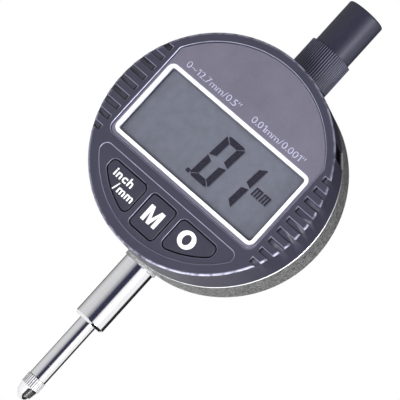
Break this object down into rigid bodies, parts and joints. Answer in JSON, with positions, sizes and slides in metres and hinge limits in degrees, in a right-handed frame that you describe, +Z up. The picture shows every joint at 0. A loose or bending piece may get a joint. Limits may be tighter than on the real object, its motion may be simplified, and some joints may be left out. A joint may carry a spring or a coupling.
{
  "type": "dial indicator",
  "caption": "Digital dial indicator with a round turning display head, push buttons, clamping stem, spring-loaded spindle, dust cap and back lug.",
  "frame": {"origin": "on the spindle's axis, halfway along the exposed 8 mm stem", "axes": "+Z runs up the spindle from the contact ball to the dust cap, the display faces -Y, +X is to the display's right"},
  "size_m": [0.057, 0.0374, 0.1205],
  "materials": {
    "head_plastic": "fine-textured moulded plastic, dark slate",
    "face_print": "printed faceplate, satin grey-violet",
    "white_print": "white printed line",
    "clear_window": "clear",
    "lcd_glass": "grey reflective display panel",
    "black_plastic": "moulded",
    "black_rubber": "matt",
    "circuit_board": "solder resist",
    "button_plastic": "smooth moulded plastic",
    "gold_plate": "plated",
    "screw_steel": "zinc plated",
    "turned_aluminium": "turned",
    "cast_housing": "satin bead-blasted with a bright front edge",
    "cover_metal": "satin",
    "battery_steel": "bright",
    "polished_steel": "ground and polished",
    "bronze": "turned",
    "contact_steel": "knurled",
    "ball_steel": "polished",
    "nylon": "natural",
    "spring_steel": "drawn",
    "flex_film": "polyimide film",
    "cap_black": "black anodised, satin"
  },
  "bodies": {
    "housing": {"rear_housing": "cast_housing", "head_seal": "black_rubber", "back_cover": "cover_metal", "cover_gasket": "black_rubber", "cover_screws": "screw_steel", "battery_tray": "black_plastic", "battery_contacts": "gold_plate", "battery": "battery_steel", "stem": "polished_steel", "lower_bush": "bronze", "top_neck": "turned_aluminium", "upper_bush": "bronze", "guide_rod": "polished_steel", "return_spring": "spring_steel", "sensor_board": "circuit_board", "sensor_screws": "screw_steel", "flex_cable": "flex_film", "back_lug": "cast_housing", "lug_screws": "screw_steel"},
    "display_head": {"front_shell": "head_plastic", "faceplate": "face_print", "window_frame": "white_print", "lcd_window": "clear_window", "lcd_panel": "lcd_glass", "lcd_holder": "black_plastic", "zebra_strips": "black_rubber", "main_board": "circuit_board", "key_pad": "black_rubber", "data_socket": "black_plastic", "socket_contacts": "gold_plate", "board_screws": "screw_steel", "head_retainer": "turned_aluminium", "retainer_screws": "screw_steel"},
    "unit_key": {"button_unit": "button_plastic"},
    "mode_key": {"button_mode": "button_plastic"},
    "zero_key": {"button_zero": "button_plastic"},
    "spindle_set": {"spindle": "polished_steel", "contact_point": "contact_steel", "contact_ball": "ball_steel", "spindle_block": "turned_aluminium", "block_screws": "screw_steel", "scale_plate": "circuit_board", "stop_sleeve": "nylon"},
    "dust_cap": {"knurled_collar": "cap_black", "cap_sleeve": "cap_black"},
    "battery_door": {"battery_cap": "head_plastic", "battery_seal": "black_rubber"}
  },
  "joints": [
    {"name": "spindle_slide", "type": "slide", "parent": "housing", "child": "spindle_set", "axis": [0, 0, 1], "range_m": [0, 0.0127], "stiffness_N_per_m": 60, "springref_m": -0.01, "deforming": ["return_spring"]},
    {"name": "head_turn", "type": "hinge", "parent": "housing", "child": "display_head", "pos_m": [0, 0, 0.0382], "axis": [0, -1, 0], "range_deg": [-135, 135]},
    {"name": "unit_key_press", "type": "slide", "parent": "display_head", "child": "unit_key", "axis": [0, 1, 0], "range_m": [0, 0.0004], "stiffness_N_per_m": 2500, "springref_m": -0.0004},
    {"name": "mode_key_press", "type": "slide", "parent": "display_head", "child": "mode_key", "axis": [0, 1, 0], "range_m": [0, 0.0004], "stiffness_N_per_m": 2500, "springref_m": -0.0004},
    {"name": "zero_key_press", "type": "slide", "parent": "display_head", "child": "zero_key", "axis": [0, 1, 0], "range_m": [0, 0.0004], "stiffness_N_per_m": 2500, "springref_m": -0.0004},
    {"name": "dust_cap_turn", "type": "hinge", "parent": "housing", "child": "dust_cap", "pos_m": [0, 0, 0.07], "axis": [0, 0, 1], "range_deg": [0, 1440]},
    {"name": "battery_cap_turn", "type": "hinge", "parent": "housing", "child": "battery_door", "pos_m": [-0.0156, 0.006, 0.0382], "axis": [0, 1, 0], "range_deg": [-60, 0]}
  ]
}
